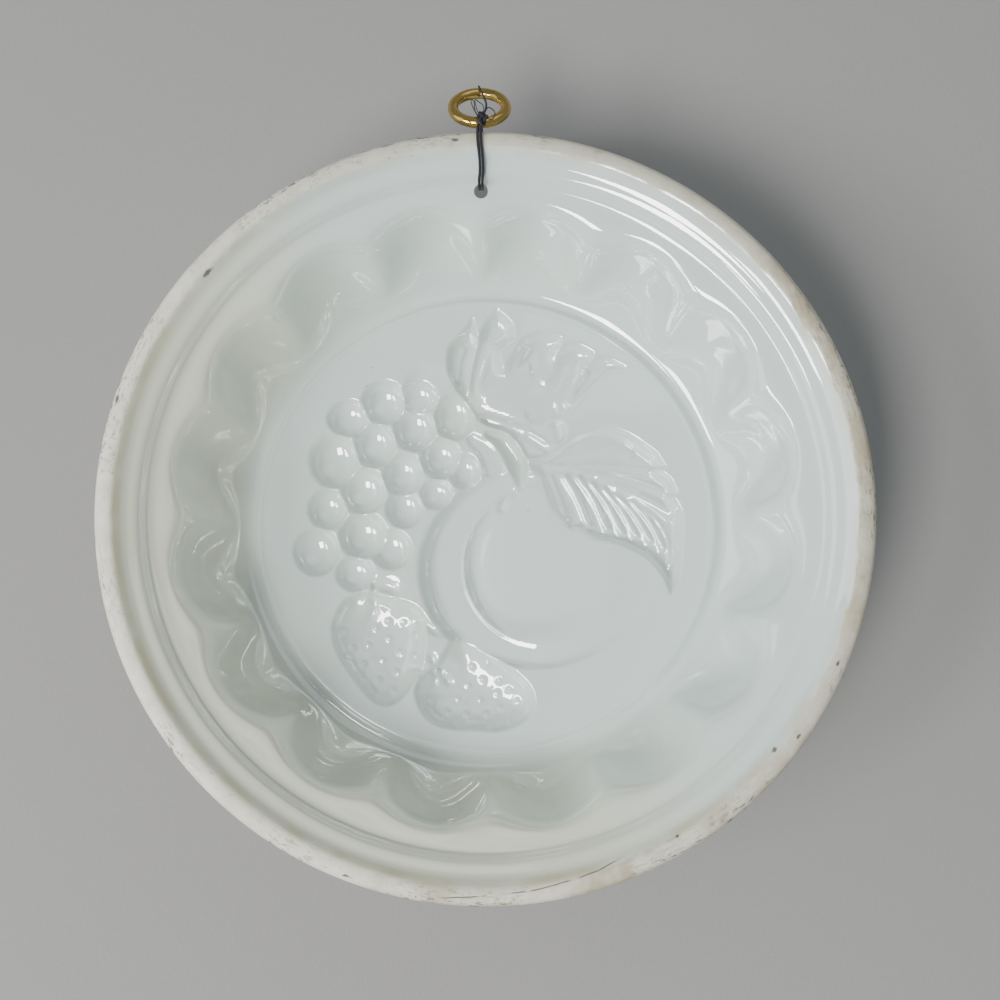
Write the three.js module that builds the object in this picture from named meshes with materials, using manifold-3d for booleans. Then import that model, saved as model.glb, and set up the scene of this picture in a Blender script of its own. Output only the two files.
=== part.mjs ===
// Round ceramic wall plaque: a fluted, hollow dish with a fruit relief in its floor, hung by a
// doubled thread and a small brass ring.
//
// Frame: millimetres, +Z up, as it hangs. +Y runs from the wall into the room, so the hollow side
// with the raw rim faces -Y. The plaque is laid out about the centre of its rim plane (x across,
// y depth, z height) and one outer group then moves the hanging point to the origin.
import * as THREE from 'three';
import { mergeVertices } from 'three/addons/utils/BufferGeometryUtils.js';
import Module from 'manifold-3d';

const wasm = await Module();
wasm.setup();

const DEGREE = Math.PI / 180;

// Driving dimensions of the dish.
const RIM_RADIUS = 112.5;
const WALL = 5;
const FLUTES = 16;
const STEPS_PER_FLUTE = 4;
const PANEL_RADIUS = 71.3;
const PANEL_DEPTH = 44;
const GROOVE_RADIUS = 74.3;
const GROOVE_DEPTH = 46;
const LEDGE_DEPTH = 9;
const FLUTE_SWELL = 4.4;

// The hanging hole, drilled through the ledge under the rim.
const HOLE_RADIUS = 2.15;
const HOLE_HEIGHT = 96.6;
const HOLE_SIDES = 12;
const HOLE_TILT = 20 * DEGREE; // it rises towards the outside, square to the ledge's inner corner

// The brass ring leans away from the wall, its foot just above the rim.
const RING_RADIUS = 8.05;
const RING_WIRE_RADIUS = 1.65;
const RING_LEAN = 33.5 * DEGREE;
const RING_DEPTH = 6;
const RING_HEIGHT = 122.2;

const THREAD_DIAMETER = 0.8;
const THREAD_SIDES = 8;
const THREAD_STEPS = 48;
const STRAND_PITCH = 0.95;
const THREAD_SWAY = 0.3; // how far it bows to each side above the hole
const LIP_POINT = 6; // the point of its route at the hole
const BEND_POINT = 16; // and the one where it starts across to its second turn

// The relief was pressed about a degree off the line of the hanging hole.
const RELIEF_TURN = 1.1 * DEGREE;
const RELIEF_GROW = 2.4; // the outside follows the relief, fuller by this much
const RELIEF_SHIFT = 2.8; // and further out by this much

const GLAZE = new THREE.MeshStandardMaterial({ color: 0xe4e6e2, roughness: 0.12, metalness: 0 });
const BRASS = new THREE.MeshStandardMaterial({ color: 0xc9a24a, roughness: 0.25, metalness: 1 });
const COTTON = new THREE.MeshStandardMaterial({ color: 0x1b1d26, roughness: 0.9, metalness: 0 });

// ---- solids -----------------------------------------------------------------------------------

/** A closed three.js geometry as a manifold solid with its faces pointing out. */
function solid(geometry) {
  const bare = geometry.clone();
  bare.deleteAttribute('normal');
  bare.deleteAttribute('uv');
  const merged = mergeVertices(bare, 1e-4);
  const corners = merged.index.array;
  const places = merged.attributes.position.array;
  const point = (i) => new THREE.Vector3().fromArray(places, 3 * i);
  const triangles = [];
  let volume = 0;
  for (let t = 0; t < corners.length; t += 3) {
    const [a, b, c] = [corners[t], corners[t + 1], corners[t + 2]];
    if (a === b || b === c || c === a) continue;
    triangles.push([a, b, c]);
    volume += point(a).dot(point(b).cross(point(c)));
  }
  const outward = volume > 0 ? triangles : triangles.map(([a, b, c]) => [a, c, b]);
  return new wasm.Manifold(new wasm.Mesh({
    numProp: 3,
    vertProperties: new Float32Array(places),
    triVerts: new Uint32Array(outward.flat()),
  }));
}

/** A manifold solid as a three.js geometry. */
function geometryOf(body) {
  const { vertProperties, triVerts } = body.getMesh();
  const geometry = new THREE.BufferGeometry();
  geometry.setAttribute('position', new THREE.BufferAttribute(vertProperties, 3));
  geometry.setIndex(new THREE.BufferAttribute(triVerts, 1));
  return geometry;
}

const join = (solids) => solids.reduce((whole, next) => whole.add(next));
const cut = (body, tools) => tools.reduce((left, tool) => left.subtract(tool), body);

// ---- relief shapes, in the relief's own plane: x across, z up, depth along +Y -------------------

/** An ellipsoid whose widest section lies in the floor of the dish. */
function dome({ x, z, across, high, deep, tilt = 0 }, grow, sides = 12, rows = 6) {
  const ball = new THREE.SphereGeometry(1, sides, rows);
  ball.scale(across + grow, deep + grow, high + grow);
  ball.rotateZ(tilt);
  ball.translate(x, PANEL_DEPTH, z);
  return solid(ball);
}

/** An egg that lies along the floor, its blunt end first and its point at `turn` from +X. */
function egg({ x, z, length, width, deep, turn, taper }, grow) {
  const ball = new THREE.SphereGeometry(1, 12, 6);
  const place = ball.attributes.position;
  for (let i = 0; i < place.count; i++) {
    const along = place.getX(i);
    const slim = 1 - taper * along - 0.5 * taper * along * along;
    place.setXYZ(i, along * (length / 2 + grow), place.getY(i) * (deep * slim + grow),
      place.getZ(i) * ((width / 2) * slim + grow));
  }
  ball.rotateY(-turn);
  ball.translate(x, PANEL_DEPTH, z);
  return solid(ball);
}

/** A tapering roll along a smooth path; each stop is [x, z, half width, depth]. */
function roll(stops, grow, { steps = 3 * (stops.length - 1), sides = 8, lift = 0 } = {}) {
  const spine = new THREE.CatmullRomCurve3(stops.map(([x, z]) => new THREE.Vector3(x, 0, z)));
  const size = new THREE.CatmullRomCurve3(stops.map(([, , w, d]) => new THREE.Vector3(w, d, 0)));
  const places = [];
  const faces = [];
  for (let s = 0; s <= steps; s++) {
    const t = s / steps;
    const centre = spine.getPoint(t);
    const tangent = spine.getTangent(t);
    const { x: wide, y: deep } = size.getPoint(t);
    for (let a = 0; a < sides; a++) {
      const angle = (2 * Math.PI * a) / sides;
      const side = (wide + grow) * Math.cos(angle);
      places.push(centre.x - tangent.z * side,
        PANEL_DEPTH + lift + (deep + grow) * Math.sin(angle), centre.z + tangent.x * side);
    }
  }
  for (let s = 0; s < steps; s++) {
    for (let a = 0; a < sides; a++) {
      const [p, q] = [s * sides + a, s * sides + ((a + 1) % sides)];
      faces.push(p, q, q + sides, p, q + sides, p + sides);
    }
  }
  for (let a = 1; a < sides - 1; a++) {
    faces.push(0, a + 1, a);
    faces.push(steps * sides, steps * sides + a, steps * sides + a + 1);
  }
  const geometry = new THREE.BufferGeometry();
  geometry.setAttribute('position', new THREE.Float32BufferAttribute(places, 3));
  geometry.setIndex(faces);
  return solid(geometry);
}

/** A leaf: its outline, made of smooth stretches that meet in points, with a dished floor. */
function leaf({ edges, middle, reach, deep }, grow) {
  const outline = new THREE.Shape();
  outline.moveTo(...edges[0][0]);
  for (const edge of edges) {
    outline.splineThru(edge.slice(1).map(([x, z]) => new THREE.Vector2(x, z)));
  }
  const drop = PANEL_DEPTH + deep + 2 * grow;
  const prism = new THREE.ExtrudeGeometry(outline, {
    depth: drop, bevelEnabled: false, curveSegments: 1, steps: 1,
  });
  prism.applyMatrix4(new THREE.Matrix4().set(1, 0, 0, 0, 0, 0, 1, 0, 0, 1, 0, 0, 0, 0, 0, 1));
  const dish = dome({ x: middle[0], z: middle[1], across: reach[0], high: reach[1], deep }, grow, 16, 4);
  return solid(prism).intersect(dish);
}

/** Pointed sepals spread round the head of a strawberry. */
function sepals({ x, z, reach, width, deep, turns }, grow) {
  return turns.map((turn) => {
    const [dx, dz] = [Math.cos(turn * DEGREE), Math.sin(turn * DEGREE)];
    const stop = (along, wide, depth) => [x + along * dx, z + along * dz, wide, depth];
    return roll([stop(0.5, 0.5 * width, deep), stop(0.5 * reach, width, deep),
      stop(reach, 0.15 * width, 0.3 * deep)], grow, { steps: 3, sides: 6 });
  });
}

// ---- the fruit ----------------------------------------------------------------------------------

// Each grape: x, z, half width, half height, depth. The deeper ones lie in front.
const GRAPES = [
  [-33.2, 38.9, 6.6, 6.7, 6.2], [-22.0, 40.3, 6.2, 6.2, 4.6], [-10.5, 34.4, 6.2, 7.1, 5.6],
  [-44.5, 33.8, 6.7, 5.9, 4.8], [-23.2, 30.4, 6.5, 6.9, 6.0], [-36.0, 25.2, 6.3, 7.0, 6.2],
  [-48.8, 19.8, 7.2, 8.0, 5.8], [-14.9, 20.8, 5.9, 6.3, 5.8], [-26.9, 15.4, 5.9, 6.6, 5.8],
  [-7.0, 16.3, 4.9, 5.8, 4.2], [-39.5, 10.0, 6.7, 7.1, 6.2], [-50.6, 4.1, 6.2, 6.4, 4.8],
  [-26.2, 4.4, 5.9, 6.2, 4.4], [-16.2, 9.0, 5.2, 4.8, 3.4], [-39.3, -4.3, 7.2, 6.9, 6.6],
  [-54.0, -9.4, 7.3, 7.5, 5.6], [-30.2, -8.7, 6.3, 6.3, 4.4], [-41.6, -16.4, 6.0, 5.6, 4.4],
  [-20.0, 45.6, 6.0, 5.2, 1.8],
];

const PEACH_BODY = { x: 19.5, z: -14.5, across: 27.5, high: 27, deep: 6.4, tilt: 7 * DEGREE };
const PEACH_CHEEK = [
  [3, 7, 3.2, 2], [-8, 1.5, 5.4, 3.6], [-14.2, -8, 6.8, 4.4], [-15, -20, 6.6, 4.6],
  [-9.5, -31.5, 6.2, 4.4], [0.5, -39.5, 5, 3.6], [13, -43.2, 4.2, 2.8], [27, -41.6, 3.4, 1.8],
  [39, -35, 2.8, 1.2], [48, -24, 2.4, 0.9],
];

const STRAWBERRIES = [
  { x: -34.4, z: -40.6, length: 35, width: 29, deep: 5.8, turn: -76 * DEGREE, taper: 0.16 },
  { x: -3.6, z: -51.6, length: 38, width: 26.5, deep: 6.2, turn: -24 * DEGREE, taper: 0.2 },
];
const CROWNS = [
  { x: -37.5, z: -21.6, reach: 9.5, width: 2.1, deep: 3, turns: [-4, -62, -110, -152] },
  { x: -15.6, z: -46.6, reach: 8.4, width: 1.7, deep: 4.4, turns: [4, 58, 100, 150, 196, 245, 300] },
];

const STEMS = [
  [[-3.6, 26, 1.8, 2.6], [1.2, 22.6, 2.6, 3.2], [3.6, 16.8, 2.8, 3.2], [3, 10.8, 2.4, 2.6]],
  [[1.6, 29, 1.8, 3], [6.2, 25.6, 2.8, 4.4], [9.8, 19.4, 2.7, 4.6], [10.4, 12, 2.4, 3.4]],
];

const BROAD_LEAF = {
  edges: [
    [[-8, 40], [-12.6, 49], [-12.2, 59.5], [-3.5, 66.8], [4.5, 69.4], [8.9, 64.5], [9.2, 60.2]],
    [[9.2, 60.2], [4.4, 56], [5.5, 50.3]],
    [[5.5, 50.3], [8.6, 56.6], [12.4, 60.6], [20, 62.4], [29, 59.6], [35, 54.8]],
    [[35, 54.8], [40.5, 53.3], [46.3, 50.6]],
    [[46.3, 50.6], [40, 49.6], [33, 43.5], [24.9, 33.4]],
    [[24.9, 33.4], [25.8, 29], [24.4, 26]],
    [[24.4, 26], [18.5, 21.2], [12.5, 20.5]],
    [[12.5, 20.5], [7, 28.6], [-2, 32.5], [-8, 40]],
  ],
  middle: [12, 45],
  reach: [44, 31],
  deep: 3.4,
};
const BROAD_LEAF_VEINS = [
  [[-3.5, 36.2, 0.8, 0.8], [6, 33.4, 0.8, 0.8], [14, 30, 0.7, 0.8], [19.5, 25.6, 0.4, 0.6]],
  [[-5.6, 41, 0.6, 0.8], [-4.8, 49, 0.7, 0.8], [-1.6, 56.5, 0.6, 0.8], [1.2, 62.5, 0.3, 0.6]],
];

const SAW_LEAF = {
  edges: [
    [[13, 19.4], [20, 23.6], [28, 29.4], [37, 31.9], [45, 29.6], [50.6, 25.9]],
    [[50.6, 25.9], [54.6, 22.8], [57.7, 18.2]],
    [[57.7, 18.2], [56, 17]],
    [[56, 17], [59.4, 13.8], [61.4, 9.2]],
    [[61.4, 9.2], [60.2, 8.4]],
    [[60.2, 8.4], [62.4, 4], [62.9, -1]],
    [[62.9, -1], [62.2, -10], [61.2, -17], [58.5, -23.6]],
    [[58.5, -23.6], [56, -17.4], [51.5, -12], [45, -8.2], [38.5, -6.3]],
    [[38.5, -6.3], [33.4, -5.2], [29.6, -2.6]],
    [[29.6, -2.6], [26.4, -3.2], [23, -0.4], [20.6, 3.4]],
    [[20.6, 3.4], [18.6, 9.6], [16, 15.2], [13, 19.4]],
  ],
  middle: [41, 8],
  reach: [37, 34],
  deep: 4.6,
};
const SAW_LEAF_BASE = [15, 18.6];
const SAW_LEAF_TIPS = [
  [54, 16.4], [60, 6.4], [60.4, -3.4], [55, -8.6], [47, -7], [39.4, -4.4], [33, -2.4], [26.6, -1.6],
];

/** The ribs of the saw-edged leaf fan out from its base and curve down to the edge. */
function sawLeafRibs() {
  const [baseX, baseZ] = SAW_LEAF_BASE;
  return SAW_LEAF_TIPS.map(([x, z], i) => {
    const start = [baseX + 2.4 * (SAW_LEAF_TIPS.length - 1 - i), baseZ - 0.5 * i, 0.5, 0.7];
    const bend = [0.62 * x + 0.38 * start[0], 0.38 * z + 0.62 * start[1], 0.8, 1];
    return roll([start, bend, [x, z, 0.6, 0.8]], 0, { steps: 3, sides: 4, lift: SAW_LEAF.deep - 0.9 });
  });
}

/** The relief, as the solid that would be cast in it. */
function fruit(grow) {
  const grapes = GRAPES.map(([x, z, across, high, deep]) => (
    dome({ x, z, across, high, deep }, grow, ...(grow ? [7, 4] : [9, 6]))));
  const veins = BROAD_LEAF_VEINS.map((stops) => (
    roll(stops, 0, { steps: 4, sides: 4, lift: BROAD_LEAF.deep - 0.8 })));
  const leaves = [
    cut(leaf(BROAD_LEAF, grow), grow ? [] : veins),
    cut(leaf(SAW_LEAF, grow), grow ? [] : sawLeafRibs()),
  ];
  const peach = [dome(PEACH_BODY, grow, 20), roll(PEACH_CHEEK, grow, { steps: 11, sides: grow ? 6 : 8 })];
  const strawberries = STRAWBERRIES.map((berry) => egg(berry, grow));
  const crowns = grow ? [] : CROWNS.flatMap((crown) => sepals(crown, grow));
  const stems = STEMS.map((stops) => roll(stops, grow, { steps: 6 }));
  return join([...grapes, ...leaves, ...peach, ...strawberries, ...crowns, ...stems])
    .rotate([0, RELIEF_TURN / DEGREE, 0]);
}

// ---- the dish -----------------------------------------------------------------------------------

// Stops of the wall's section: radius, depth and how far the flutes swell it there.
const HOLLOW_SIDE = [
  [0, PANEL_DEPTH, 0],
  [PANEL_RADIUS, PANEL_DEPTH, 0],
  [GROOVE_RADIUS, GROOVE_DEPTH, 0],
  [GROOVE_RADIUS + 2.2, GROOVE_DEPTH - 0.7, 0],
  [GROOVE_RADIUS + 4.4, 43.4, 0.6],
  [80.4, 39.4, 2.6],
  [82.8, 32, 4.2],
  [86.8, 19.5, FLUTE_SWELL],
  [88.8, 13, FLUTE_SWELL],
  [90, LEDGE_DEPTH + 0.5, 0.95 * FLUTE_SWELL],
  [94.8, LEDGE_DEPTH, 0],
  [97.5, LEDGE_DEPTH - 0.8, 0],
  [99.4, 5.3, 0],
  [101, 5, 0],
  [104.4, 3.2, 0],
  [107.3, 0.4, 0],
];
const RIM_FACE = [108.2, 110.9];
const ROOM_SIDE = [
  [RIM_RADIUS, 1.6, 0],
  [RIM_RADIUS, 4.4, 0],
  [110.2, 8.6, 0],
  [105.4, 12.2, 0],
  [99.4, 13.9, 0],
  [95.6, 15.4, 0.9 * FLUTE_SWELL],
  [93.4, 19.6, FLUTE_SWELL],
  [88.6, 34, 4.2],
  [85, 44.4, 1.8],
  [80.6, 49.6, 0],
  [GROOVE_RADIUS, GROOVE_DEPTH + WALL, 0],
  [PANEL_RADIUS - 0.6, PANEL_DEPTH + WALL, 0],
  [0, PANEL_DEPTH + WALL, 0],
];

/** The turned dish, its flutes pushed out between sixteen ridges. */
function flutedDish() {
  const stops = [...HOLLOW_SIDE, ...RIM_FACE.map((radius) => [radius, 0, 0]), ...ROOM_SIDE];
  const profile = stops.map(([radius, depth]) => new THREE.Vector2(radius, depth));
  const segments = FLUTES * STEPS_PER_FLUTE;
  const dish = new THREE.LatheGeometry(profile, segments);
  const place = dish.attributes.position;
  for (let s = 0; s <= segments; s++) {
    const angle = (2 * Math.PI * (s % segments)) / segments;
    const hollow = Math.abs(Math.sin((FLUTES * angle) / 2));
    stops.forEach(([radius, depth, swell], row) => {
      const reach = radius + swell * hollow;
      place.setXYZ(s * stops.length + row, reach * Math.sin(angle), depth, reach * Math.cos(angle));
    });
  }
  return solid(dish);
}

/** The ceramic body: one casting, with the relief in its floor and following on its outside. */
function plaqueBody() {
  const outside = new THREE.CylinderGeometry(PANEL_RADIUS + 1, PANEL_RADIUS + 1, 30, 48);
  outside.translate(0, PANEL_DEPTH + 1.5 + 15, 0);
  const bosses = fruit(RELIEF_GROW).translate([0, RELIEF_SHIFT, 0]).intersect(solid(outside));
  const drill = new THREE.CylinderGeometry(HOLE_RADIUS, HOLE_RADIUS, 30, HOLE_SIDES);
  drill.rotateX(HOLE_TILT);
  drill.translate(0, LEDGE_DEPTH - 0.5, HOLE_HEIGHT);
  return cut(flutedDish().add(bosses), [fruit(0), solid(drill)]);
}

// ---- ring and thread ----------------------------------------------------------------------------

function ringGeometry() {
  const ring = new THREE.TorusGeometry(RING_RADIUS, RING_WIRE_RADIUS, 8, 30);
  ring.rotateX(Math.PI / 2 - RING_LEAN);
  return ring;
}

// The thread's route, in the plane of the hanging hole: depth and height. It leaves the knot in
// front of the ring's foot, passes over the rim and the ledge, goes out through the hole, climbs
// the outside and comes back over the ring's foot.
const THREAD_ROUTE = [
  [-1.1, 113.9], [-1.05, 111.4], [-0.95, 108.4], [-0.1, 106.2], [1.9, 103.0], [3.3, 100.7],
  [4.5, 98.8], [5.9, 97.5], [8.0, 97.2], [10.6, 98.0], [13.2, 99.1], [15.2, 100.6], [15.5, 102.9],
  [14, 105.4], [12, 108], [9.6, 110.9], [7.2, 113.9], [4.9, 116.8], [3.1, 118.1], [1.2, 118.35],
  [-0.7, 117.5], [-1.3, 115.8],
];

function threadGeometry() {
  const turn = (first) => THREAD_ROUTE.map(([depth, height], i) => {
    const drift = Math.max(0, i - BEND_POINT) / (THREAD_ROUTE.length - BEND_POINT);
    const sway = THREAD_SWAY * Math.sin((2 * Math.PI * Math.min(i, LIP_POINT)) / LIP_POINT);
    return new THREE.Vector3(first + STRAND_PITCH * drift - sway, depth, height);
  });
  const route = [...turn(-STRAND_PITCH / 2), ...turn(STRAND_PITCH / 2)];
  const radius = THREAD_DIAMETER / 2;
  const section = new THREE.Shape();
  for (let i = 0; i < THREAD_SIDES; i++) {
    const angle = (2 * Math.PI * i) / THREAD_SIDES;
    const corner = [radius * Math.cos(angle), radius * Math.sin(angle)];
    if (i === 0) section.moveTo(...corner);
    else section.lineTo(...corner);
  }
  return new THREE.ExtrudeGeometry(section, {
    steps: THREAD_STEPS, bevelEnabled: false, extrudePath: new THREE.CatmullRomCurve3(route),
  });
}

// ---- the object ---------------------------------------------------------------------------------

function part(name, geometry, material) {
  const mesh = new THREE.Mesh(geometry, material);
  mesh.name = name;
  return mesh;
}

const laidOut = new THREE.Group();
laidOut.add(part('ceramic_plaque', geometryOf(plaqueBody()), GLAZE));

const ring = part('brass_ring', geometryOf(solid(ringGeometry())), BRASS);
ring.position.set(0, RING_DEPTH, RING_HEIGHT);
laidOut.add(ring);

laidOut.add(part('hanging_thread', threadGeometry(), COTTON));

// A nail bears under the top of the ring, at the lowest point of its upper arc.
laidOut.position.set(
  0,
  -(RING_DEPTH + RING_RADIUS * Math.sin(RING_LEAN)),
  -(RING_HEIGHT + RING_RADIUS * Math.cos(RING_LEAN) - RING_WIRE_RADIUS),
);

const plaque = new THREE.Group();
plaque.add(laidOut);

export default plaque;
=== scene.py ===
"""A round ceramic fruit mould that hangs as a wall plaque.

A fluted dish has grapes, two leaves, two stems, a peach and two strawberries pressed into its
floor. It has a raw rim, a drilled hole, a brass ring and a doubled thread.

The tables hold millimetres on the dish: x across, z up from the middle of the rim, and depth from
the rim plane into the dish. Angles run clockwise from the hanging hole.
"""

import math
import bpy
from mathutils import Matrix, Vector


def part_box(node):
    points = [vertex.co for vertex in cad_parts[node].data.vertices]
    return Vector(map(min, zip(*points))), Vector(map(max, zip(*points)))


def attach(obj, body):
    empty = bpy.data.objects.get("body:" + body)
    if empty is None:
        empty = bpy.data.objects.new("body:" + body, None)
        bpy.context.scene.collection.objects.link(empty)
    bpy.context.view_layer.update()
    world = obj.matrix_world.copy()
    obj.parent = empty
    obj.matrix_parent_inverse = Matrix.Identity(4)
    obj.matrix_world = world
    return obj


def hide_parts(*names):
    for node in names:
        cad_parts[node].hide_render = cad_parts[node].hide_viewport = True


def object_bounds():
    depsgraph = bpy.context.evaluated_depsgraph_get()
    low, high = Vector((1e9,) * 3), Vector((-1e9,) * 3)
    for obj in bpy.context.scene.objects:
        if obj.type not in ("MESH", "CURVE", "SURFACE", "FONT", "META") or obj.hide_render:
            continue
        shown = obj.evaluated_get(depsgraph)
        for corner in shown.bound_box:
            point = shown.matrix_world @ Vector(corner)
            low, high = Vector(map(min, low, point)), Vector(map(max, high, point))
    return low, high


bl_info = {
    "name": "Fruit Mould Plaque",
    "version": (1, 0, 0),
    "blender": (4, 5, 0),
    "location": "View3D > Sidebar > Plaque",
    "description": "Builds a glazed fruit mould, its brass ring and its hanging thread",
    "category": "Add Mesh",
}

import bpy
import numpy as np
from bpy.props import FloatProperty, FloatVectorProperty, IntProperty, PointerProperty
from mathutils import Matrix, Vector

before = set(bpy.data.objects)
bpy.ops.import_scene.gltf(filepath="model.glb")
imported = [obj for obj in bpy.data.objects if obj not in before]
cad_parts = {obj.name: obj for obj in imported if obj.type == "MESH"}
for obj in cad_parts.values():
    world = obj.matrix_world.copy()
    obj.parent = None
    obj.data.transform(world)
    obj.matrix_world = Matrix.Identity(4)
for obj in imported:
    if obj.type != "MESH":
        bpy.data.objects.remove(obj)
CAD_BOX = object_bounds()
MM = 0.001

_low, _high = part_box("ceramic_plaque")
RIM_CENTRE = Vector(((_low.x + _high.x) / 2, _low.y, (_low.z + _high.z) / 2))
RIM_RADIUS = (_high.x - _low.x) / 2 / MM

# ---- sizes and colours a user may change --------------------------------------------------------


def length(name, description, default, low=0.0, high=1.0):
    """A length property, in metres."""
    return FloatProperty(
        name=name, description=description, default=default, min=low, max=high,
        unit="LENGTH", precision=5,
    )


def colour(name, description, default):
    """A linear colour property."""
    return FloatVectorProperty(
        name=name, description=description, default=default, size=3, min=0, max=1,
        subtype="COLOR",
    )


class PlaqueSizes(bpy.types.PropertyGroup):
    """Sizes of the ceramic dish."""

    wall: length("Wall", "Thickness of the ceramic", 0.005)
    hole: length("Hole radius", "Radius of the hanging hole", 0.00215)
    softness: length("Glaze softness", "How far the glaze rounds the relief", 0.0003)
    cells: IntProperty(
        name="Floor cells", description="Cells across the floor", default=108, min=24, max=160
    )


class HangerSizes(bpy.types.PropertyGroup):
    """Sizes of the ring and the thread."""

    ring_radius: length("Ring radius", "Middle radius of the brass ring", 0.00805)
    wire_radius: length("Wire radius", "Radius of the ring's wire", 0.00165)
    ring_lean: FloatProperty(
        name="Lean", description="How far the ring's top leans into the room",
        default=math.radians(33.5), unit="ROTATION",
    )
    thread: length("Thread", "Diameter of the thread", 0.00094)


class PlaqueColours(bpy.types.PropertyGroup):
    """Colours of the finishes."""

    glaze: colour("Glaze", "Cool white glaze", (0.64, 0.73, 0.69))
    # The warm colour serves both a warmer glaze at random and a painted warm reflection and shade
    # on the left side.
    warm_glaze_and_reflection: colour("Warm glaze", "Glaze where it lies thin", (0.67, 0.675, 0.52))
    bare: colour("Bare edge", "Unglazed body at the rim", (0.74, 0.73, 0.62))
    # The stain colour also paints shade on the right side of the bare edge.
    stain_and_shade: colour("Stain", "Old stains on the bare edge", (0.36, 0.31, 0.2))
    brass: colour("Brass", "The ring", (0.60, 0.42, 0.12))
    thread: colour("Thread", "Dark sewing thread", (0.006, 0.007, 0.011))
    stage: colour("Stage", "The pale ground behind", (0.275, 0.27, 0.262))


# ---- tables of the relief -----------------------------------------------------------------------

PANEL_RADIUS, PANEL_DEPTH = 71.3, 44.0
GROOVE_RADIUS, GROOVE_DEPTH = 74.3, 46.0
FLUTES = 16
LEDGE_DEPTH, HOLE_HEIGHT = 9.0, 96.6
RELIEF_TURN = math.radians(1.1)
FLUTE_SOFTNESS = 0.3  # how round the ridges between the flutes are
STRAWBERRY_DEPTHS = (5.7, 6.1)
FINER_SHARES = (0.44, 0.27)  # shares of the floor's cells that are cut in four, one after the other

# Each grape: x, z, half width, half height, depth. The deeper ones lie in front.
GRAPES = [
    (-19.4, 46.0, 6.6, 5.0, 1.1), (-22.0, 40.3, 6.2, 6.2, 4.9), (-44.5, 33.8, 6.7, 5.9, 4.9),
    (-7.0, 16.3, 4.9, 5.8, 4.2), (-50.6, 4.1, 6.2, 6.4, 5.0), (-26.2, 4.4, 5.9, 6.2, 4.6),
    (-16.2, 9.0, 5.2, 4.8, 3.6), (-30.2, -8.7, 6.3, 6.3, 4.6), (-41.6, -16.4, 6.0, 5.6, 4.6),
    (-54.0, -9.4, 7.3, 7.5, 5.7), (-33.2, 38.9, 6.6, 6.7, 6.2), (-10.5, 34.4, 6.2, 7.1, 5.6),
    (-48.8, 19.8, 7.2, 8.0, 5.9), (-23.2, 30.4, 6.5, 6.9, 6.2), (-36.0, 25.2, 6.3, 7.0, 6.3),
    (-14.9, 20.8, 5.9, 6.3, 5.9), (-26.9, 15.4, 5.9, 6.6, 6.0), (-39.5, 10.0, 6.7, 7.1, 6.3),
    (-39.3, -4.3, 7.2, 6.9, 6.8),
]
FRONT_GRAPES = 9  # the last ones of the list stand forward and show their whole outline

BROAD_LEAF = [
    [(-8, 40), (-12.6, 49), (-12.4, 57.4), (-8.8, 61.8), (-4.4, 67.4)],
    [(-4.4, 67.4), (-3.7, 63.6), (-2.9, 60.6)],
    [(-2.9, 60.6), (-0.6, 65.6), (3.4, 70.2)],
    [(3.4, 70.2), (8.4, 65.6), (9.2, 60.2)],
    [(9.2, 60.2), (4.4, 56), (5.5, 50.3)],
    [(5.5, 50.3), (8.8, 55.4), (12.2, 60.2), (17.5, 62.2), (24.8, 60.8)],
    [(24.8, 60.8), (24.2, 58.4), (22.9, 56.4)],
    [(22.9, 56.4), (29.2, 58.6), (35.6, 55.6)],
    [(35.6, 55.6), (34, 53), (32.2, 51)],
    [(32.2, 51), (38.6, 53.9), (46.6, 50.6)],
    [(46.6, 50.6), (40, 49.6), (33, 43.5), (24.9, 33.4)],
    [(24.9, 33.4), (25.8, 29), (24.4, 26)],
    [(24.4, 26), (18.5, 21.2), (12.5, 20.5)],
    [(12.5, 20.5), (7, 28.6), (-2, 32.5), (-8, 40)],
]
# Ridges on the broad leaf: half width, height, then the line they follow.
BROAD_LEAF_RIDGES = [
    (0.8, 0.6, [(-4.5, 35.9), (5, 33), (13, 30.3), (20.5, 26)]),
    (0.9, -0.35, [(-3, 34), (5, 31), (13, 28.3), (19, 24.8)]),
    (0.9, -0.6, [(-3, 38), (6, 35), (12, 32.8)]),
    (0.9, 1.5, [(-6, 41), (-5.4, 48), (-4, 55), (-2.6, 61)]),
    (1.2, 1.0, [(-9.5, 46), (-9.4, 52), (-7.6, 59)]),
    (1.0, 0.8, [(-3, 42), (-1, 50), (2.4, 60)]),
    (2.4, 1.0, [(-3, 41), (2, 44), (8, 48.4), (15, 50.8)]),
    (1.6, 1.7, [(26, 37.5), (29, 45), (32.2, 50.6)]),
    (1.4, 0.9, [(9, 50), (11.4, 54.6), (13.4, 58.4)]),
    (2.2, -1.1, [(12.6, 34.2), (18, 36.8), (23, 37.6)]),
    (1.6, -1.0, [(22.8, 33.5), (23.2, 30), (24.6, 27)]),
    (1.8, 0.9, [(22.4, 56), (21.4, 51), (18, 46)]),
    (1.2, -0.8, [(12, 29), (17, 26), (21, 22.5)]),
]

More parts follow.
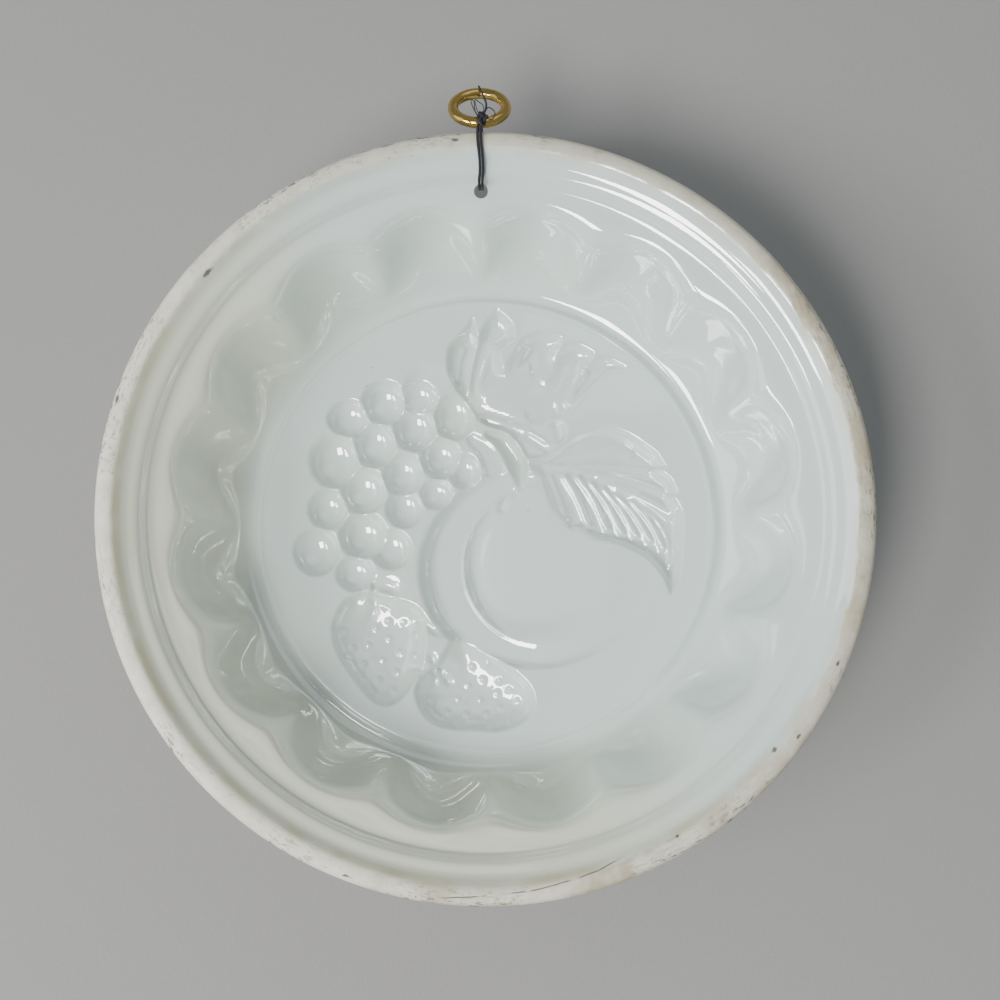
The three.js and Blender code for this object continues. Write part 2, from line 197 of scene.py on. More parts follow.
SAW_LEAF = [
    [(13, 19.4), (20, 23.6), (28, 29.4), (37, 31.9), (45, 29.6), (50.6, 25.9)],
    [(50.6, 25.9), (54.6, 22.8), (57.7, 18.2)],
    [(57.7, 18.2), (55.9, 17)],
    [(55.9, 17), (59.4, 13.8), (61.4, 9.2)],
    [(61.4, 9.2), (60.0, 8.4)],
    [(60.0, 8.4), (62.4, 4), (62.9, -1)],
    [(62.9, -1), (62.2, -10), (61.2, -17), (58.5, -23.6)],
    [(58.5, -23.6), (56, -17.4), (51.5, -12), (45, -8.2), (38.5, -6.3)],
    [(38.5, -6.3), (33.4, -5.2), (29.6, -2.6)],
    [(29.6, -2.6), (26.4, -3.2), (23, -0.4), (20.6, 3.4)],
    [(20.6, 3.4), (18.6, 9.6), (16, 15.2), (13, 19.4)],
]
# Ribs of the saw-edged leaf: half width, height, line. They fan from the stem to the edge.
SAW_LEAF_RIBS = [
    (0.8, 1.1, [(14, 18.8), (27, 18.2), (35, 15.2), (42, 11.4), (51, 5.4), (58, -4), (58.6, -16)]),
    (1.5, 0.9, [(24, 18.4), (33, 20.8), (42, 23.4), (48, 22.8)]),
    (1.5, 0.9, [(27, 18.1), (40, 18.4), (54.5, 17.4)]),
    (2.1, 1.7, [(33, 16.6), (45, 14.2), (59, 10)]),
    (2.3, 2.0, [(39, 13.8), (50, 8.8), (61.2, 2.6)]),
    (1.5, 0.9, [(19.4, 17.2), (22.6, 9), (26, -0.6)]),
    (1.3, 1.7, [(24, 17), (29, 9), (33.4, -2)]),
    (1.2, 1.7, [(28, 16.8), (34.6, 7.6), (39.4, -3)]),
    (1.2, 1.7, [(32, 15.2), (39, 6), (44.2, -4)]),
    (1.2, 1.7, [(36, 13.2), (43.4, 4.4), (48.8, -5)]),
    (1.2, 1.7, [(40, 11.4), (47.8, 2.8), (53.4, -6.6)]),
    (1.2, 1.7, [(45, 9.2), (52.8, 0.4), (57.4, -9)]),
]

STEMS = [
    [(-4.6, 27, 2.0, 1.2), (0.2, 23, 3.4, 1.7), (2.8, 17, 3.8, 1.8), (2.4, 10.8, 3.0, 1.3)],
    [(0.8, 28.6, 1.4, 2.4), (5.0, 26.6, 2.8, 4.4), (8.6, 21.6, 3.2, 5.2), (10.4, 16.6, 2.8, 4.8),
     (10.6, 11.6, 1.6, 2.6)],
]

PEACH_CENTRE, PEACH_CLEFT = (18.0, -13.5), 25.7
# Round the peach, by angle from +x: reach of the cheek, depth of the cheek, depth of the body.
PEACH_ROUND = [
    (0, 35.4, 0.3, 0.1), (25, 33.0, 0.0, 0.1), (60, 29.0, 0.0, 0.2), (90, 29.0, 0.5, 0.5),
    (120, 33.0, 3.2, 3.0), (137, 35.4, 4.2, 5.2), (160, 38.0, 4.6, 6.8), (180, 39.8, 4.7, 7.4),
    (206, 39.6, 4.7, 7.2), (217, 38.6, 4.6, 6.6), (235, 35.5, 3.8, 5.0), (250, 33.7, 2.8, 3.4),
    (270, 32.9, 1.5, 1.2), (290, 32.1, 1.0, 0.6), (315, 32.8, 0.7, 0.2), (340, 35.2, 0.5, 0.1),
]

STRAWBERRIES = [
    [(-46.5, -27), (-48.7, -33), (-47.5, -40), (-43.5, -47), (-39, -53), (-34, -57.3),
     (-29.5, -57.5), (-26, -55), (-22.5, -50), (-20, -44), (-19.3, -38), (-19.3, -33),
     (-20.5, -28.5), (-23.5, -26), (-27.5, -24.7), (-32, -23.6), (-39, -22.4), (-43.6, -23.8)],
    [(-21.7, -50.5), (-22.3, -54), (-20, -60), (-16, -63.7), (-10, -65), (-3, -65.3),
     (3, -65.6), (8, -64.5), (13, -61.5), (15.2, -57), (14, -52.5), (10, -48), (5, -44),
     (0, -40), (-3.5, -37), (-8, -35.8), (-11.5, -38), (-14.4, -43.4)],
]
SEEDS = [
    (-45.7, -34.3), (-42.5, -39.5), (-44, -42.4), (-39, -44.7), (-33, -43.2), (-28.5, -47.2),
    (-34, -49.5), (-38.3, -51), (-33.5, -55.3), (-29.5, -53), (-31, -36.5), (-27.5, -41),
    (-37.5, -38.5), (-26.3, -31.5), (-23, -42), (-31.4, -31), (-22.6, -35.6), (-35.2, -33.2),
    (-12.3, -59.7), (-6.3, -60.5), (0, -60.5), (4.6, -58.5), (-8.5, -63.6), (1.5, -64),
    (7.5, -62.8), (-17.5, -56.3), (-2, -55.7), (-9, -55.5), (-4.5, -45.5), (0, -44.7),
    (-1, -49.5), (4, -49.9), (3.5, -53.9), (7.2, -52.6), (9.6, -56.4), (-5.8, -51.2),
]
# Sepals: half width, extra depth, line.
SEPALS = [
    (2.3, 1.9, [(-36.5, -20.5), (-31.5, -20.4), (-26.2, -23.4)]),
    (1.3, 1.5, [(-36.8, -22), (-35.8, -27), (-39.6, -33.4)]),
    (1.2, 1.3, [(-37, -22.5), (-32.6, -26), (-29.2, -27.4)]),
    (1.4, 1.4, [(-38, -22), (-42.4, -25), (-45.2, -26.2)]),
    (1.1, 1.3, [(-15.5, -46.5), (-13, -43), (-12.4, -39.6)]),
    (1.1, 1.3, [(-15.5, -46.5), (-16.8, -43.6), (-17.4, -40.6)]),
    (1.2, 1.6, [(-16, -46.6), (-20, -46.2), (-24.4, -45.8)]),
    (1.0, 1.3, [(-16, -47), (-20, -48), (-23.4, -48.6)]),
    (1.1, 1.2, [(-15, -46.5), (-12, -45.8), (-8.6, -45.2)]),
    (1.1, 1.5, [(-15, -47), (-13, -49.2), (-10.4, -52)]),
    (1.0, 1.3, [(-15.6, -47.4), (-16.4, -50), (-17.4, -53)]),
    (1.4, 1.6, [(-22, -30), (-18, -33), (-12, -37.5)]),
]

# The wall's section: radius, depth, how far the flutes swell it, and cells to the next stop.
HOLLOW_SIDE = [
    (PANEL_RADIUS, PANEL_DEPTH, 0, 2), (72.1, 43.7, 0, 2), (73.0, 44.5, 0, 2),
    (GROOVE_RADIUS, 45.9, 0, 2), (75.7, GROOVE_DEPTH, 0, 2), (77.5, 45.1, 0, 2),
    (79.2, 43.4, 0.5, 3), (81.0, 39.2, 2.9, 4), (83.0, 32.4, 4.9, 5),
    (86.2, 21, 5.1, 4), (87.8, 15.8, 4.5, 3), (89.4, 12.5, 3.7, 2), (91.2, 10.7, 2.7, 2),
    (92.6, 9.95, 1.9, 2), (95, 9.35, 0.8, 2), (97.6, 8.9, 0, 2), (99.4, 8.0, 0, 1),
    (100.3, 5.9, 0, 2), (101.8, 4.3, 0, 2), (104.4, 3.3, 0, 2), (106.9, 0.7, 0, 2),
]
RIM_FACE = [(108.2, 0, 0, 1), (110.9, 0, 0, 2)]
ROOM_SIDE = [
    (RIM_RADIUS, 1.6, 0, 1), (RIM_RADIUS, 4.4, 0, 2), (110.2, 8.6, 0, 2), (105.4, 12.2, 0, 1),
    (99.4, 13.9, 0, 2), (95.6, 15.4, 3.96, 2), (93.2, 19.6, 4.8, 4), (88.6, 34, 4.4, 3),
    (85, 44.4, 2.0, 2), (80.6, 49.6, 0, 2), (GROOVE_RADIUS, 51, 0, 1), (70.7, 49, 0, 0),
]

# The thread's route in the plane of the hole: depth and height.
THREAD_ROUTE = [
    (-1.1, 113.9), (-1.05, 111.4), (-0.95, 108.4), (-0.1, 106.2), (1.9, 103.0), (3.3, 100.7),
    (4.5, 98.8), (5.9, 97.5), (8.0, 97.2), (10.6, 98.0), (13.2, 99.1), (15.2, 100.6),
    (15.5, 102.9), (14, 105.4), (12, 108), (9.6, 110.9), (7.2, 113.9), (4.9, 116.8),
    (3.1, 118.1), (1.2, 118.35), (-0.7, 117.5), (-1.3, 115.8),
]
STRAND_PITCH = 0.95
THREAD_SWAY = 0.3  # how far it bows to each side above the hole
LIP_POINT, BEND_POINT = 6, 16  # points of the route at the hole, and where its second turn starts
HOLE_TILT = math.radians(20)
DRILL_CUTS = (-2.4, -1.7, -1.0, -0.3)  # along the drill: its flare runs from the first to the last
LIP_FLARE = 0.2
RING_DEPTH, RING_HEIGHT = 6.0, 122.2

# ---- helpers ------------------------------------------------------------------------------------


def on_row(points):
    """Millimetres on the dish as metres in the row frame."""
    return np.asarray(points, float) * MM + np.array(RIM_CENTRE)


def deselect():
    """Leaves object mode with nothing selected."""
    if bpy.context.object and bpy.context.object.mode != "OBJECT":
        bpy.ops.object.mode_set(mode="OBJECT")
    bpy.ops.object.select_all(action="DESELECT")


def activate(obj):
    """Selects one object alone and makes it active."""
    deselect()
    obj.select_set(True)
    bpy.context.view_layer.objects.active = obj
    return obj


def vertices(obj):
    """The vertex places of a mesh as an array."""
    places = np.empty(3 * len(obj.data.vertices))
    obj.data.vertices.foreach_get("co", places)
    return places.reshape(-1, 3)


def move_vertices(obj, places):
    """Gives a mesh new vertex places."""
    obj.data.vertices.foreach_set("co", np.ascontiguousarray(places, float).ravel())
    obj.data.update()


def apply_modifier(obj, kind, **settings):
    """Adds a modifier, sets it and applies it."""
    activate(obj)
    modifier = obj.modifiers.new(kind.title(), kind)
    for name, value in settings.items():
        setattr(modifier, name, value)
    bpy.ops.object.modifier_apply(modifier=modifier.name)


def weld(gap):
    """Merges the active piece's doubled vertices and turns its faces outwards."""
    bpy.ops.object.mode_set(mode="EDIT")
    bpy.ops.mesh.select_all(action="SELECT")
    bpy.ops.mesh.remove_doubles(threshold=gap)
    bpy.ops.mesh.normals_make_consistent(inside=False)
    bpy.ops.object.mode_set(mode="OBJECT")


def join(first, others):
    """Joins other pieces into the first and leaves it active."""
    activate(first)
    for piece in others:
        piece.select_set(True)
    bpy.ops.object.join()


def spline_between(p, t, at):
    """The centripetal Catmull-Rom curve between the middle two of four points."""
    a = [((t[i + 1] - at) * p[i] + (at - t[i]) * p[i + 1]) / (t[i + 1] - t[i]) for i in range(3)]
    b = [((t[i + 2] - at) * a[i] + (at - t[i]) * a[i + 1]) / (t[i + 2] - t[i]) for i in range(2)]
    return ((t[2] - at) * b[0] + (at - t[1]) * b[1]) / (t[2] - t[1])


def smooth_line(points, step):
    """A centripetal Catmull-Rom line through the points, sampled about every step."""
    points = np.asarray(points, float)
    ends = (2 * points[0] - points[1], 2 * points[-1] - points[-2])
    padded = np.vstack([ends[0], points, ends[1]])
    line = []
    for k in range(len(points) - 1):
        p = padded[k : k + 4]
        gaps = np.sqrt(np.maximum(np.linalg.norm(np.diff(p, axis=0), axis=1), 1e-9))
        t = np.concatenate([[0], np.cumsum(gaps)])
        count = max(1, math.ceil(np.linalg.norm(p[2] - p[1]) / step))
        at = np.linspace(t[1], t[2], count, endpoint=False)[:, None]
        line.append(spline_between(p, t, at))
    return np.vstack([*line, points[-1:]])


def soft_max(a, b, soft):
    """The larger of two fields, rounded where they cross."""
    return 0.5 * (a + b + np.sqrt((a - b) ** 2 + soft**2))


def smooth_step(value, low, high):
    """0 below low, 1 above high, and smooth between."""
    t = np.clip((value - low) / (high - low), 0, 1)
    return t * t * (3 - 2 * t)


# ---- the relief as a field of depths ------------------------------------------------------------


def round_bowl(out, edge):
    """1 in the middle of a round bowl, falling to 0 at 1, and steeply on from its edge."""
    bowl = np.sqrt(1 - np.minimum(out, edge) ** 2)
    fall = edge / math.sqrt(1 - edge**2)
    return bowl - fall * np.maximum(out - edge, 0)


class Relief:
    """Depth of the pressed fruit below the floor of the dish, on a fine square grid."""

    STEP = 0.25

    def __init__(self, reach=73.0):
        self.reach = reach
        self.count = int(2 * reach / self.STEP) + 1
        self.axis = np.linspace(-reach, reach, self.count)
        self.depth = np.zeros((self.count, self.count))

    def window(self, points, margin):
        """The part of the grid round some points: its slices and its x and z."""
        points = np.asarray(points, float)
        spans = []
        for low, high in zip(points.min(0) - margin, points.max(0) + margin):
            first, last = np.searchsorted(self.axis, (low, high))
            spans.append(slice(max(0, first), min(self.count, last + 1)))
        x, z = np.meshgrid(self.axis[spans[0]], self.axis[spans[1]], indexing="ij")
        return tuple(spans), x, z

    def press(self, where, shape, soft=0.35):
        """Presses a shape into the floor, over what is there."""
        self.depth[where] = soft_max(self.depth[where], shape, soft)

    def pocket(self, x, z, across, high, deep, lift):
        """A round pocket with a steep wall."""
        where, gx, gz = self.window([(x, z)], max(across, high) + 2)
        out = np.hypot((gx - x) / across, (gz - z) / high)
        self.press(where, lift + (deep - lift) * round_bowl(out, 0.965))

    def inside(self, outline, margin=4.0):
        """The grid round a closed outline, and how far each point lies inside it."""
        where, gx, gz = self.window(outline, margin)
        nearest = np.full(gx.shape, 1e9)
        within = np.zeros(gx.shape, bool)
        for (ax, az), (bx, bz) in zip(outline, np.roll(outline, -1, axis=0)):
            dx, dz = bx - ax, bz - az
            size = dx * dx + dz * dz
            if size < 1e-9:
                continue
            t = np.clip(((gx - ax) * dx + (gz - az) * dz) / size, 0, 1)
            nearest = np.minimum(nearest, (gx - ax - t * dx) ** 2 + (gz - az - t * dz) ** 2)
            if dz:
                crosses = (az > gz) != (bz > gz)
                within ^= crosses & (gx < ax + dx * (gz - az) / dz)
        return where, gx, gz, np.where(within, 1, -1) * np.sqrt(nearest)

    def along(self, stops, margin):
        """The grid round a line, the distance to it and the line's share and sizes there."""
        line = smooth_line(stops, 1.2)
        where, gx, gz = self.window(line[:, :2], margin)
        nearest = np.full(gx.shape, 1e9)
        share = np.zeros(gx.shape)
        sizes = np.zeros(gx.shape + (line.shape[1] - 2,))
        for k, (a, b) in enumerate(zip(line[:-1], line[1:])):
            dx, dz = b[:2] - a[:2]
            t = np.clip(((gx - a[0]) * dx + (gz - a[1]) * dz) / (dx * dx + dz * dz), 0, 1)
            gap = (gx - a[0] - t * dx) ** 2 + (gz - a[1] - t * dz) ** 2
            closer = gap < nearest
            nearest = np.where(closer, gap, nearest)
            share = np.where(closer, (k + t) / (len(line) - 1), share)
            if sizes.shape[-1]:
                here = a[2:] + t[..., None] * (b[2:] - a[2:])
                sizes = np.where(closer[..., None], here, sizes)
        return where, np.sqrt(nearest), share, sizes

    def channel(self, stops):
        """A round-bottomed channel; each stop is x, z, half width, depth."""
        where, gap, _, sizes = self.along(stops, 6)
        self.press(where, sizes[..., 1] * round_bowl(gap / sizes[..., 0], 0.95))

    def ridge(self, half_width, high, line, fade=(0.12, 0.12)):
        """The height of a soft ridge along a line, as a field over its window."""
        where, gap, share, _ = self.along(line, 3 * half_width)
        ends = smooth_step(share, 0, fade[0]) * (1 - smooth_step(share, 1 - fade[1], 1.0))
        return where, high * ends * np.exp(-((gap / half_width) ** 2))

    def soften(self, amount):
        """Rounds everything a little, as a coat of glaze does."""
        reach = math.ceil(3 * amount / self.STEP)
        weights = np.exp(-0.5 * (np.arange(-reach, reach + 1) * self.STEP / amount) ** 2)
        weights /= weights.sum()
        for axis in (0, 1):
            padded = np.pad(self.depth, [(reach, reach) if a == axis else (0, 0) for a in (0, 1)])
            self.depth = sum(
                np.take(padded, range(k, k + self.count), axis) * w for k, w in enumerate(weights)
            )

    def at(self, x, z, field=None):
        """Samples the depth, or another field of the same grid, at places on the dish."""
        field = self.depth if field is None else field
        turn_x = x * math.cos(RELIEF_TURN) - z * math.sin(RELIEF_TURN)
        turn_z = x * math.sin(RELIEF_TURN) + z * math.cos(RELIEF_TURN)
        u = np.clip((turn_x + self.reach) / self.STEP, 0, self.count - 1.001)
        v = np.clip((turn_z + self.reach) / self.STEP, 0, self.count - 1.001)
        i, j = u.astype(int), v.astype(int)
        s, t = u - i, v - j
        return (
            field[i, j] * (1 - s) * (1 - t) + field[i + 1, j] * s * (1 - t)
            + field[i, j + 1] * (1 - s) * t + field[i + 1, j + 1] * s * t
        )

    def busy(self):
        """How sharply the surface bends near each place of the grid."""
        bend = np.zeros_like(self.depth)
        for axis in (0, 1):
            slope = np.gradient(self.depth, self.STEP, axis=axis)
            bend += np.abs(np.gradient(slope, self.STEP, axis=axis))
        for axis in (0, 1):
            bend = np.maximum.reduce([np.roll(bend, shift, axis) for shift in (-3, -1, 0, 1, 3)])
        return bend


def press_leaf(relief, edges, floor, edge_width, ridges, terrace=0.0):
    """Presses a leaf: its outline, the depth of its floor, and ridges that stand up from it."""
    outline = np.vstack([smooth_line(edge, 0.7)[:-1] for edge in edges])
    where, gx, gz, inward = relief.inside(outline)
    width = edge_width(gx, gz)
    t = np.clip(inward / width, -1.2, 1)
    wall = np.where(t > 0, 1 - (1 - t) ** 3, 3 * t)
    if terrace:
        step = smooth_step(inward, 1.5 * terrace, 3.0 * terrace)
        wall = np.where(t > 0, wall * (0.5 + 0.5 * step), wall)
    shape = floor(gx, gz) * wall
    veined = np.zeros_like(relief.depth)
    for half_width, high, line in ridges:
        at, field = relief.ridge(half_width, high, line, (0.12, 0.06))
        veined[at] = np.where(np.abs(field) > np.abs(veined[at]), field, veined[at])
    shape -= veined[where] * np.clip(inward / 1.2, 0, 1)
    relief.press(where, shape)


def press_peach(relief):
    """The peach: a round body, its cleft, and the narrow cheek beyond the cleft."""
    cx, cz = PEACH_CENTRE
    where, gx, gz = relief.window([(cx, cz)], 44)
    out = np.hypot(gx - cx, gz - cz)
    angle = np.degrees(np.arctan2(gz - cz, gx - cx)) % 360
    table = np.array(PEACH_ROUND, float)
    stops = np.concatenate([table[-3:, 0] - 360, table[:, 0], table[:3, 0] + 360])
    columns = [np.concatenate([table[-3:, c], table[:, c], table[:3, c]]) for c in (1, 2, 3)]
    fine = np.arange(0, 361.0)
    window = np.hanning(23) / np.hanning(23).sum()
    lanes = []
    for column in columns:
        wide = np.interp(np.arange(-11, 372.0), stops, column)
        lanes.append(np.interp(angle, fine, np.convolve(wide, window, "valid")))
    reach, cheek, body = lanes
    inward = (reach - out) / np.maximum(reach - PEACH_CLEFT, 0.5)
    wall = np.where(inward > 0, 1 - (1 - np.clip(inward / 0.34, 0, 1)) ** 2, 6 * inward)
    crescent = 1.1 * cheek * wall * (1 - 0.08 * smooth_step(inward, 0.3, 1.0))
    inner = PEACH_CLEFT - out
    base = 0.74 * cheek
    slope = 7.4 - 7.3 * np.clip((gx + 7.5) / 52, 0, 1) ** 0.8
    slope = slope * (1 - 0.7 * smooth_step(gz, -28, 14))
    steep = 4.8 + 9 * smooth_step(gx, -2, 30)
    rise = np.where(inner > 0, 1 - (1 - np.clip(inner / steep, 0, 1)) ** 1.7, 1.7 * inner / steep)
    floor = np.maximum(slope - 0.25 * smooth_step(gx, 43.6, 44.8), 0.05)
    blend = smooth_step(inner, 0, 9)
    bowl = base + (body * (1 - blend) + floor * blend - base) * rise
    bowl = np.where(inner > 0, bowl, base + 2.4 * inner)
    shape = np.where(cheek > 0.05, np.maximum(crescent, bowl), bowl)
    relief.press(where, np.where(inner > 0.0, np.maximum(bowl, 0), shape), 0.3)


def press_strawberry(relief, outline, deep):
    """A strawberry's pocket, a quarter circle at its edge and steep on beyond it."""
    closed = smooth_line([*outline, outline[0]], 0.8)[:-1]
    where, _, _, inward = relief.inside(closed)
    t = np.clip(inward / 12, -0.5, 1)
    quarter = np.sqrt(np.maximum(1 - (1 - np.maximum(t, 0.02)) ** 2, 0))
    relief.press(where, deep * 1.3 * np.where(t > 0.02, quarter, 0.199 + 9 * (t - 0.02)))


def broad_leaf_floor(x, z):
    """Depth of the broad leaf's floor."""
    return 3.0 + 1.3 * smooth_step(-x, -10, 8) + 0.6 * smooth_step(z, 46, 60)


def broad_leaf_edge(x, z):
    """Width of the broad leaf's sloping edge, wider on its left lobe and round its notches."""
    left_lobe = smooth_step(-(x + 1.4 * z), -48, -34) * smooth_step(x, -9, -4)
    return 3.2 + 3.0 * left_lobe + 3.0 * smooth_step(x, -1, 4) * smooth_step(z, 47, 52)


def saw_leaf_floor(x, z):
    """Depth of the saw-edged leaf's floor, deepest towards its tip."""
    tip = smooth_step(x, 18, 48) * (1 - 0.3 * smooth_step(z, 18, 30))
    return 2.9 + 2.5 * tip - 1.0 * smooth_step(z, 20, 30) * (1 - smooth_step(x, 36, 46))


def saw_leaf_edge(x, z):
    """Width of the saw-edged leaf's sloping edge, wider along the top."""
    return 2.6 + 2.4 * smooth_step(z, 20, 30) * (1 - smooth_step(x, 42, 50))


def fruit_relief(softness):
    """The whole relief."""
    relief = Relief()
    for number, grape in enumerate(GRAPES):
        relief.pocket(*grape, 1.5 if number >= len(GRAPES) - FRONT_GRAPES else 0.0)
    press_leaf(relief, BROAD_LEAF, broad_leaf_floor, broad_leaf_edge, BROAD_LEAF_RIDGES)
    press_leaf(relief, SAW_LEAF, saw_leaf_floor, saw_leaf_edge, SAW_LEAF_RIBS, terrace=1.0)
    press_peach(relief)
    for outline, deep in zip(STRAWBERRIES, STRAWBERRY_DEPTHS):
        press_strawberry(relief, outline, deep)
    for stops in STEMS:
        relief.channel(stops)
    for half_width, deep, line in SEPALS:
        where, field = relief.ridge(half_width, deep, line, (0.05, 0.45))
        relief.depth[where] += field
    where, field = relief.ridge(1.1, 1.1, [(4.2, 3.4), (6.2, 8), (10.2, 10.8)])
    relief.depth[where] += field
    for x, z in SEEDS:
        where, gx, gz = relief.window([(x, z)], 4)
        gap = np.hypot(gx - x, gz - z)
        moat, seed = np.exp(-(((gap - 1.6) / 0.6) ** 2)), np.exp(-((gap / 0.85) ** 2))
        relief.depth[where] += 0.12 * moat - 0.75 * seed
    relief.soften(softness)
    return relief


# ---- shader maths -------------------------------------------------------------------------------


class Sum:
    """A shader socket with arithmetic: an expression on it adds its Math nodes."""

    def __init__(self, shader, socket):
        self.shader, self.socket = shader, socket

    def _math(self, operation, *others):
        inputs = {k: getattr(o, "socket", o) for k, o in enumerate([self, *others])}
        return self.shader.node("ShaderNodeMath", {"operation": operation}, inputs)

    def __add__(self, other):
        return self._math("ADD", other)

    def __sub__(self, other):
        return self._math("SUBTRACT", other)

    def __mul__(self, other):
        return self._math("MULTIPLY", other)

    def __rsub__(self, other):
        inputs = {0: getattr(other, "socket", other), 1: self.socket}
        return self.shader.node("ShaderNodeMath", {"operation": "SUBTRACT"}, inputs)

    __radd__ = __add__
    __rmul__ = __mul__

    def root(self):
        return self._math("SQRT")

    def size(self):
        return self._math("ABSOLUTE")

    def most(self, other):
        return self._math("MAXIMUM", other)

    def angle(self, other):
        return self._math("ARCTAN2", other)

    def times(self, factor, plus):
        """Multiplied by factor, plus a number or another value, in one node."""
        return self._math("MULTIPLY_ADD", factor, plus)

    def between(self, start, end):
        """0 from start and 1 to end, smooth between; start may be the higher of the two."""
        return self.shader.node(
            "ShaderNodeMapRange", {"interpolation_type": "SMOOTHSTEP"},
            {0: self.socket, 1: start, 2: end},
        )


class Shader:
    """A node material being built."""

    def __init__(self, name):
        self.material = bpy.data.materials.new(name)
        self.material.use_nodes = True
        self.tree = self.material.node_tree
        self.tree.nodes.clear()
        self.place = self.node("ShaderNodeTexCoord", {}, {}, "Object").socket

    def node(self, kind, settings, inputs, output=0):
        """Adds a node with its settings and inputs, and returns one output as a Sum."""
        node = self.tree.nodes.new(kind)
        for name, value in settings.items():
            setattr(node, name, value)
        for name, value in inputs.items():
            socket, value = node.inputs[name], getattr(value, "socket", value)
            if isinstance(value, bpy.types.NodeSocket):
                self.tree.links.new(value, socket)
            elif socket.type == "RGBA" and len(value) == 3:
                socket.default_value = (*value, 1)
            else:
                socket.default_value = value
        return Sum(self, node.outputs[output]) if len(node.outputs) else None

    def noise(self, scale, detail=3.0, roughness=0.55, distortion=0.0, place=None):
        return self.node(
            "ShaderNodeTexNoise", {},
            {"Vector": place or self.place, "Scale": scale, "Detail": detail,
             "Roughness": roughness, "Distortion": distortion},
        )

    def mix(self, factor, first, second):
        """A colour between two."""
        return self.node(
            "ShaderNodeMix", {"data_type": "RGBA"}, {0: factor, 6: first, 7: second}, 2
        )

    def bump(self, height, strength, distance, normal=None):
        inputs = {"Height": height, "Strength": strength, "Distance": distance}
        if normal is not None:
            inputs["Normal"] = normal
        return self.node("ShaderNodeBump", {}, inputs)

    def finish(self, **inputs):
        """Ends in a Principled surface; names hold _ for each space."""
        surface = self.node(
            "ShaderNodeBsdfPrincipled", {}, {k.replace("_", " "): v for k, v in inputs.items()}
        )
        self.node("ShaderNodeOutputMaterial", {}, {"Surface": surface})
        return self.material


# Of these, the first is painted shade on the upper right of the bare edge; scuffs and grime are
# real marks.
PAINTED_SHADE_BODY, SCUFF, GRIME = (0.44, 0.42, 0.34), (0.12, 0.11, 0.1), (0.09, 0.08, 0.065)
# Of these, the first is a yellowed glaze line that also paints the shade of the inner lip.
YELLOW_EDGE_AND_SHADE, MARK, PIT = (0.5, 0.45, 0.27), (0.035, 0.033, 0.032), (0.1, 0.095, 0.08)
GLAZE_IOR, COAT_ROUGHNESS = 1.75, 0.03


